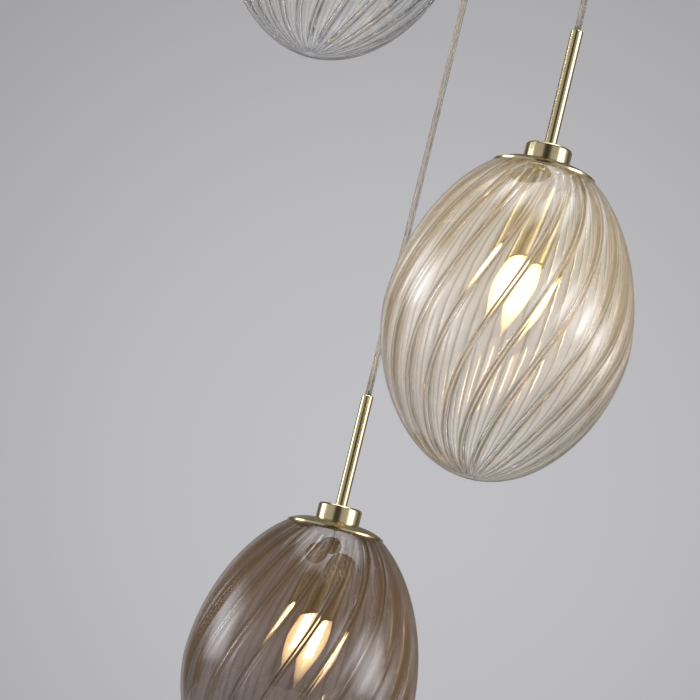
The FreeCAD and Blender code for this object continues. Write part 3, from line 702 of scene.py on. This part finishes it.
def turned(name, profile, place, material, sides=96, values=None):
    # a closed profile of (radius, height) spun about the lamp's middle; points at radius 0 become one pole
    build = bmesh.new()
    glow = build.verts.layers.float.new("glow") if values else None
    rings = []
    for i, (r, z) in enumerate(profile):
        ring = []
        for k in range(1 if r < 1e-7 else sides):
            turn = 2 * math.pi * k / sides
            vert = build.verts.new(place + Vector((r * math.cos(turn), r * math.sin(turn), z)))
            if values:
                vert[glow] = values[i]
            ring.append(vert)
        rings.append(ring)
    closed = len(rings[0]) > 1
    pairs = list(zip(rings, rings[1:])) + ([(rings[-1], rings[0])] if closed else [])
    for first, second in pairs:
        for k in range(sides):
            j = (k + 1) % sides
            corners = [first[k % len(first)], first[j % len(first)],
                       second[j % len(second)], second[k % len(second)]]
            corners = list(dict.fromkeys(corners))       # a pole's corner comes twice
            if len(corners) > 2:
                build.faces.new(corners)
    bmesh.ops.recalc_face_normals(build, faces=build.faces)
    return meshPiece(name, build, material, sharp=30)


def meshPiece(name, build, material, sharp):
    # smooth, apart from edges that turn by more than sharp degrees
    for face in build.faces:
        face.smooth = True
    for edge in build.edges:
        if len(edge.link_faces) == 2 and edge.calc_face_angle(0) > math.radians(sharp):
            edge.smooth = False
    mesh = bpy.data.meshes.new(name)
    build.to_mesh(mesh)
    build.free()
    mesh.materials.append(material)
    piece = bpy.data.objects.new(name, mesh)
    scene.collection.objects.link(piece)
    return piece


def standIn(piece, body, *nodes):
    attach(piece, body)
    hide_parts(*nodes)
    return piece


def dressed(node, body, material):
    # the CAD piece's own shape, merged and smoothed
    build = bmesh.new()
    build.from_mesh(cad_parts[node].data)
    bmesh.ops.remove_doubles(build, verts=build.verts, dist=1e-6)
    words = node.split("_")
    name = words[0] + "".join(word.capitalize() for word in words[1:])
    return standIn(meshPiece(name, build, material, sharp=28), body, node)


def satinBrass():
    # champagne-coloured, finely brushed round the turned pieces
    material, board, coords = newMaterial("satinBrass")
    rings = board.noise(board.stretched(coords, (6, 6, 900)), scale=1.0, detail=4, roughness=0.6)
    cloud = board.noise(coords, scale=35, detail=3)
    colour = board.mixColours(cloud, (0.74, 0.63, 0.36), (0.80, 0.70, 0.43))
    finishMaterial(board, board.add("ShaderNodeBsdfPrincipled", {}, {
        "Base Color": board.mixColours(rings * 0.35, colour, (0.58, 0.47, 0.25)), "Metallic": 1.0,
        "Roughness": 0.15 + cloud * 0.08, "Normal": board.bump(rings, distance=0.000012)}))
    return material


def zincPlate():
    # pale plated steel with a faint spangle
    material, board, coords = newMaterial("zincPlate")
    spangle = board.add("ShaderNodeTexVoronoi", {}, {"Vector": coords, "Scale": 180}).out("Distance")
    cloud = board.noise(coords, scale=60, detail=4)
    finishMaterial(board, board.add("ShaderNodeBsdfPrincipled", {}, {
        "Base Color": board.mixColours(spangle, (0.58, 0.59, 0.60), (0.72, 0.72, 0.71)), "Metallic": 1.0,
        "Roughness": 0.28 + cloud * 0.16, "Normal": board.bump(cloud, distance=0.00008)}))
    return material


def springSteel():
    # grey, with fine grain lines that lie level
    material, board, coords = newMaterial("springSteel")
    grain = board.noise(board.stretched(coords, (1, 1, 12)), scale=240, detail=3)
    finishMaterial(board, board.add("ShaderNodeBsdfPrincipled", {}, {
        "Base Color": board.mixColours(grain, (0.42, 0.42, 0.41), (0.62, 0.61, 0.59)), "Metallic": 1.0,
        "Roughness": 0.22 + grain * 0.12}))
    return material


def moulded(name, low, high, scale=700, roughness=0.42):
    # plastic and the like, with fine pits and a cloudy colour between low and high
    material, board, coords = newMaterial(name)
    pits = board.noise(coords, scale=scale, detail=3)
    cloud = board.noise(coords, scale=40, detail=2)
    finishMaterial(board, board.add("ShaderNodeBsdfPrincipled", {}, {
        "Base Color": board.mixColours(cloud, low, high), "Roughness": roughness + pits * 0.1,
        "Normal": board.bump(pits, distance=0.00006)}))
    return material


def nickelCap():
    # warm nickel, cloudy in colour and roughness
    material, board, coords = newMaterial("nickelCap")
    cloud = board.noise(coords, scale=120, detail=3)
    finishMaterial(board, board.add("ShaderNodeBsdfPrincipled", {}, {
        "Base Color": board.mixColours(cloud, (0.62, 0.58, 0.50), (0.78, 0.76, 0.70)), "Metallic": 1.0,
        "Roughness": 0.18 + cloud * 0.12}))
    return material


def frostedGlass():
    # satin-frosted bulb glass, faintly lit all through where the filaments stand behind it
    material, board, coords = newMaterial("frostedBulb")
    glow = board.add("ShaderNodeAttribute", {"attribute_name": "glow"}).out("Fac")
    frost = board.noise(coords, scale=1400, detail=2)
    light = board.mixColours(glow * (0.9 + frost * 0.2), (0.0, 0.0, 0.0), bulb["glowColour"])
    glassy = board.add("ShaderNodeBsdfPrincipled", {}, {
        "Base Color": (1, 0.985, 0.95, 1), "Roughness": bulb["frost"] + frost * 0.05, "IOR": bulb["ior"],
        "Transmission Weight": 1.0, "Emission Color": light, "Emission Strength": bulb["glow"]})
    isShadow = board.add("ShaderNodeLightPath").out("Is Shadow Ray")
    through = board.add("ShaderNodeBsdfTransparent")
    finishMaterial(board, board.add("ShaderNodeMixShader", {}, {0: isShadow, 1: glassy, 2: through}))
    return material


def litFilament():
    material, board, coords = newMaterial("litFilament")
    grain = board.noise(coords, scale=900, detail=2)
    finishMaterial(board, board.add("ShaderNodeBsdfPrincipled", {}, {
        "Base Color": (1, 0.8, 0.45, 1), "Roughness": 0.5,
        "Emission Color": board.mixColours(grain, (1.0, 0.76, 0.44), (1.0, 0.84, 0.56)),
        "Emission Strength": bulb["filamentLight"]}))
    return material


bulb = {
    "top": -0.0494,          # below the rim, where the glass meets the cap
    "length": 0.0745,
    "radius": 0.0175,
    "neck": 0.0064,
    "wall": 0.0008,
    "frost": 0.26,
    "ior": 1.42,
    "glow": 0.6,
    "glowColour": (1.0, 0.66, 0.30),
    "glowFrom": 0.04,        # of the glass's length, where the glow starts and ends
    "glowTo": 0.98,
    "glowRise": 0.25,        # and how much of it the glow takes to come and go
    "glowFall": 0.30,
    "filamentLight": 130.0,
    "sticks": 4,
    "stickRadius": 0.0009,
    "stickLength": 0.030,
    "stickCircle": 0.005,
    "stemRadius": 0.0016,
    "hubEdge": 0.0005,
    "middleShare": 0.44,     # of the glass's length down to the middle of the sticks
}


def filamentTree():
    # upright sticks with rounded ends, evenly round a circle
    sockets, board, given = newTree("filamentSticks", (
        ("Sticks", "Int"), ("Circle", "Float"), ("Stick Radius", "Float"), ("Stick Length", "Float"),
        ("Middle", "Vector"), ("Material", "Material")))
    ring = board.add("GeometryNodeMeshCircle", {"fill_type": "NONE"},
                     {"Vertices": given.out("Sticks"), "Radius": given.out("Circle")})
    radius, half = given.out("Stick Radius"), given.out("Stick Length") * 0.5
    ball = board.add("GeometryNodeMeshUVSphere", {}, {"Segments": 16, "Rings": 12, "Radius": radius})
    at = board.add("ShaderNodeSeparateXYZ", {}, {0: board.add("GeometryNodeInputPosition")}).out("Z")
    lift = board.add("ShaderNodeCombineXYZ", {}, {"Z": at.sum("SIGN", at) * (half - radius)})
    stick = board.add("GeometryNodeSetPosition", {}, {"Geometry": ball, "Offset": lift})
    placed = board.add("GeometryNodeInstanceOnPoints", {}, {"Points": ring, "Instance": stick})
    moved = board.add("GeometryNodeTransform", {}, {"Geometry": placed, "Translation": given.out("Middle")})
    finishTree(board, given, moved)
    return board, sockets


def bulbLines():
    # the outside and the inside of the glass, from the neck down to the tip; shape is share of length, radius
    shape = [(0.0, bulb["neck"]), (0.10, bulb["neck"] + 0.0016), (0.26, 0.78 * bulb["radius"]),
             (0.44, bulb["radius"]), (0.62, 0.86 * bulb["radius"]), (0.80, 0.50 * bulb["radius"]),
             (0.93, 0.19 * bulb["radius"]), (1.0, 0.0)]
    outer = smoothLine([(r, bulb["top"] - share * bulb["length"]) for share, r in shape], steps=10)
    outer[-1] = (0.0, bulb["top"] - bulb["length"])
    wall = bulb["wall"]
    inner = [(r - wall, z) for r, z in outer if r > wall * 2 and z < bulb["top"] - wall]
    inner = [(inner[0][0], bulb["top"] - wall)] + inner
    inner.append((0.0, bulb["top"] - bulb["length"] + 2 * wall))
    return outer, inner


def glowAt(level):
    share = (bulb["top"] - level) / bulb["length"]
    coming = rising(share - bulb["glowFrom"], bulb["glowRise"])
    return coming * rising(bulb["glowTo"] - share, bulb["glowFall"])


def makeBulbs(frosted, filament, stemGlass):
    outer, inner = bulbLines()
    board, sockets = filamentTree()
    middle = bulb["top"] - bulb["middleShare"] * bulb["length"]
    stickTop = middle + bulb["stickLength"] / 2
    for name, lamp in lamps.items():
        label, body, place = name.capitalize(), "lamp_" + name, lamp["place"]
        build = bmesh.new()
        for line, outside in ((outer, True), (inner, False)):
            profile = [(0.0, line[0][1])] + line
            glows = [glowAt(z) for r, z in profile]
            shell = turned("bulbShell", profile, place, frosted, sides=64, values=glows)
            if not outside:
                shell.data.flip_normals()
            build.from_mesh(shell.data)
            bpy.data.objects.remove(shell)
        cover = meshPiece("bulbGlass" + label, build, frosted, sharp=40)
        cover.visible_glossy = False      # the shade's reflections catch the bright filaments themselves
        standIn(cover, body, "bulb_glass_" + name)
        sticks = growNodes("filaments" + label, board, sockets, {
            "Sticks": bulb["sticks"], "Circle": bulb["stickCircle"], "Stick Radius": bulb["stickRadius"],
            "Stick Length": bulb["stickLength"], "Middle": tuple(place + Vector((0, 0, middle))),
            "Material": filament})
        standIn(sticks, body, "bulb_filaments_" + name)
        # the stem flares at the cap and ends in a small plate that carries the sticks
        hub = bulb["stickCircle"] + bulb["stickRadius"] + bulb["hubEdge"]
        stem = bulb["stemRadius"]
        stemTop = bulb["top"] - bulb["wall"]
        profile = [(0.0, stemTop), (stem * 2, stemTop), (stem * 1.1, bulb["top"] - 0.004),
                   (stem, stickTop + 0.003), (stem * 1.3, stickTop + 0.0014),
                   (hub, stickTop + 0.0009), (hub, stickTop + 0.0001), (0.0, stickTop)]
        post = turned("bulbStem" + label, profile, place, stemGlass, sides=40)
        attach(post, body)


sleeveBead = {   # rounds the inner side of the sleeve's rolled edge
    "radius": 0.0155,
    "thickness": 0.0008,     # radius of the roll
    "level": -0.0657,
    "sides": 14,
}


def makeLamps():
    brass, zinc, steel = satinBrass(), zincPlate(), springSteel()
    washer = moulded("clearWasher", (0.72, 0.72, 0.70), (0.84, 0.84, 0.82), scale=500, roughness=0.3)
    holder = moulded("holderPlastic", (0.80, 0.77, 0.69), (0.88, 0.86, 0.79))
    lead = moulded("leadPlastic", (0.62, 0.58, 0.50), (0.74, 0.70, 0.62))
    nickel = nickelCap()
    finishes = {"stem": brass, "cap": brass, "flange": brass, "shade_gasket": washer, "shade_spring": steel,
                "socket_sleeve": brass, "stem_nut": zinc, "lamp_holder": holder, "inner_lead": lead,
                "bulb_cap": nickel}
    for name in lamps:
        for node, material in finishes.items():
            dressed(node + "_" + name, "lamp_" + name, material)
        dressed("stem_bush_" + name, "bush_" + name, zinc)
        bead = []
        for i in range(sleeveBead["sides"]):
            turn = 2 * math.pi * i / sleeveBead["sides"]
            bead.append((sleeveBead["radius"] + sleeveBead["thickness"] * math.cos(turn),
                         sleeveBead["level"] + sleeveBead["thickness"] * math.sin(turn)))
        ring = turned("sleeveBead" + name.capitalize(), bead, lamps[name]["place"], brass)
        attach(ring, "lamp_" + name)
    stemGlass = moulded("bulbStem", (0.70, 0.69, 0.66), (0.80, 0.79, 0.76), scale=300, roughness=0.25)
    makeBulbs(frostedGlass(), litFilament(), stemGlass)
    print("lamps made")
    terminal = moulded("terminalPlastic", (0.84, 0.84, 0.82), (0.91, 0.91, 0.89))
    for node, material in (("mounting_bracket", zinc), ("bracket_studs", zinc), ("dome_nuts", brass),
                           ("earth_screw", brass), ("terminal_block", terminal), ("canopy_cover", brass),
                           ("grip_nuts", zinc), ("cord_grip_clear", brass), ("cord_grip_amber", brass),
                           ("cord_grip_smoke", brass)):
        dressed(node, "canopy", material)
    print("ceiling side made")


makeLamps()


studio = {
    "floorLevel": -2.3,
    "floorRadius": 6.0,
    "backdrop": [   # colour by how far a direction is from the backdrop's middle, in degrees
        (0, (0.530, 0.524, 0.548)), (6, (0.490, 0.486, 0.505)), (9, (0.437, 0.435, 0.448)),
        (12.5, (0.368, 0.367, 0.375)), (18, (0.38, 0.38, 0.39)), (32, (0.47, 0.465, 0.48))],
    "backdropMiddle": (1.04, -2.70),    # degrees right of and above the middle of the picture
    "fill": (0.52, 0.52, 0.53),     # light from all sides on what doesn't reflect
    "room": [   # what glass and metal see: level as the sine of the angle upwards, and colour
        (-1.0, (0.13, 0.12, 0.11)), (-0.55, (0.17, 0.155, 0.14)), (-0.28, (0.45, 0.445, 0.455)),
        (0.28, (0.485, 0.48, 0.50)), (0.55, (0.17, 0.16, 0.15)), (1.0, (0.10, 0.095, 0.09))],
    "bands": [   # darker parts of the room: turn from the camera's side to the right, half width, edge
        {"turn": -6, "half": 17, "soft": 8, "colour": (0.045, 0.04, 0.035)},
        {"turn": 125, "half": 14, "soft": 12, "colour": (0.10, 0.095, 0.09)},
        {"turn": 170, "half": 20, "soft": 14, "colour": (0.16, 0.155, 0.15), "metalOnly": True},
        {"turn": -128, "half": 16, "soft": 12, "colour": (0.10, 0.095, 0.09)}],
    "throughGlass": 0.45,    # how much of a soft box a ray through glass sees
    "boxes": [   # soft boxes: turn and widths as the bands have them, then bottom, top and fade as sines
        {"turn": 72, "half": 12, "soft": 10, "low": 0.04, "high": 0.42, "fade": 0.16,
         "colour": (4.6, 4.7, 4.9)},
        {"turn": -94, "half": 10, "soft": 9, "low": 0.04, "high": 0.38, "fade": 0.16,
         "colour": (4.7, 4.95, 5.3)},
        {"low": 0.9, "high": 2.0, "fade": 0.07, "colour": (3.8, 3.9, 4.1)}],     # overhead, all round
    "lamps": [   # name, place, what it points at, size, power
        ("keyBox", (1.5, -1.5, -0.1), (0, 0, -0.65), (0.9, 1.5), 24.0),
        ("sideBox", (-1.7, -1.0, -0.4), (0, 0, -0.65), (0.8, 1.4), 14.0),
        ("backBox", (1.3, 1.4, -0.4), (0, 0, -0.65), (0.8, 1.2), 8.0)],
}


def studioWorld():
    world = bpy.data.worlds.new("studio")
    scene.world = world
    world.use_nodes = True
    world.node_tree.nodes.clear()
    board = Board(world.node_tree)
    way = board.add("ShaderNodeSeparateXYZ", {}, {0: board.add("ShaderNodeTexCoord").out("Generated")})
    x, y, level = way.out("X"), way.out("Y"), way.out("Z")
    flat = level.sum("MAXIMUM", level.sum("SQRT", x * x + y * y), 1e-4)

    def towards(part):
        # 1 where the direction is within the part's turn and width, with soft edges
        turn = math.radians(part["turn"])
        near = (x * math.sin(turn) - y * math.cos(turn)) / flat
        outer = math.cos(math.radians(part["half"] + part["soft"]))
        inner = math.cos(math.radians(part["half"] - part["soft"]))
        return board.between(near, outer, inner)

    stops = [(sine * 0.5 + 0.5, colour) for sine, colour in studio["room"]]
    room = board.add("ShaderNodeValToRGB", {"stops": stops}, {"Fac": level * 0.5 + 0.5})
    right, up, ahead = cameraWays()
    aside, above = (math.tan(math.radians(value)) for value in studio["backdropMiddle"])
    middle = (ahead + right * aside + up * above).normalized()
    near = board.add("ShaderNodeVectorMath", {"operation": "DOT_PRODUCT"},
                     {0: board.add("ShaderNodeTexCoord").out("Generated"), 1: tuple(middle)}).out("Value")
    edge, end = (math.cos(math.radians(angle)) for angle, colour in studio["backdrop"][-2:])
    span = 1 - end
    stops = [((1 - math.cos(math.radians(angle))) / span, colour) for angle, colour in studio["backdrop"]]
    backdrop = board.add("ShaderNodeValToRGB", {"stops": stops}, {"Fac": (1 - near) / span})
    room = board.mixColours(board.between(near, end, edge), room, backdrop)
    path = board.add("ShaderNodeLightPath")
    # a ray through clear glass counts as glossy too, so those are taken off
    metalSees = path.out("Is Glossy Ray") * (1 - path.out("Is Transmission Ray"))
    for band in studio["bands"]:
        seen = metalSees if band.get("metalOnly") else 1.0
        room = board.mixColours(towards(band) * seen, room, band["colour"])
    for box in studio["boxes"]:
        inside = board.between(level, box["low"] - box["fade"], box["low"] + box["fade"])
        inside = inside * board.between(level, box["high"] + box["fade"], box["high"] - box["fade"])
        if "turn" in box:
            inside = inside * towards(box)
        share = metalSees * (1 - studio["throughGlass"]) + studio["throughGlass"]
        room = board.mixColours(inside * share, room, box["colour"])
    mirrored = path.sum("MAXIMUM", metalSees, path.out("Is Transmission Ray"))
    unseen = board.mixColours(mirrored, studio["fill"], room)
    colour = board.mixColours(path.out("Is Camera Ray"), unseen, backdrop)
    back = board.add("ShaderNodeBackground", {}, {"Color": colour, "Strength": 1.0})
    board.add("ShaderNodeOutputWorld", {}, {"Surface": back})


def makeStudio():
    floor = bpy.data.meshes.new("floor")
    build = bmesh.new()
    bmesh.ops.create_circle(build, cap_ends=True, segments=96, radius=studio["floorRadius"])
    bmesh.ops.translate(build, verts=build.verts, vec=(0, 0, studio["floorLevel"]))
    build.to_mesh(floor)
    build.free()
    material, board, coords = newMaterial("paleFloor")
    grain = board.noise(coords, scale=3, detail=3)
    finishMaterial(board, board.add("ShaderNodeBsdfPrincipled", {}, {
        "Base Color": board.mixColours(grain, (0.66, 0.66, 0.67), (0.70, 0.70, 0.71)), "Roughness": 0.7}))
    floor.materials.append(material)
    ground = bpy.data.objects.new("floor", floor)
    scene.collection.objects.link(ground)
    studioWorld()
    for name, spot, aim, size, power in studio["lamps"]:
        data = bpy.data.lights.new(name, "AREA")
        data.shape = "RECTANGLE"
        data.size, data.size_y = size
        data.energy = power
        light = bpy.data.objects.new(name, data)
        facing = (Vector(aim) - Vector(spot)).to_track_quat("-Z", "Y").to_matrix().to_4x4()
        light.matrix_world = Matrix.Translation(spot) @ facing
        light.visible_glossy = False        # glass and metal show the room's own soft boxes
        light.visible_transmission = False
        light.visible_camera = False
        scene.collection.objects.link(light)
    scene.view_settings.view_transform = "Standard"


makeStudio()
print("studio made")
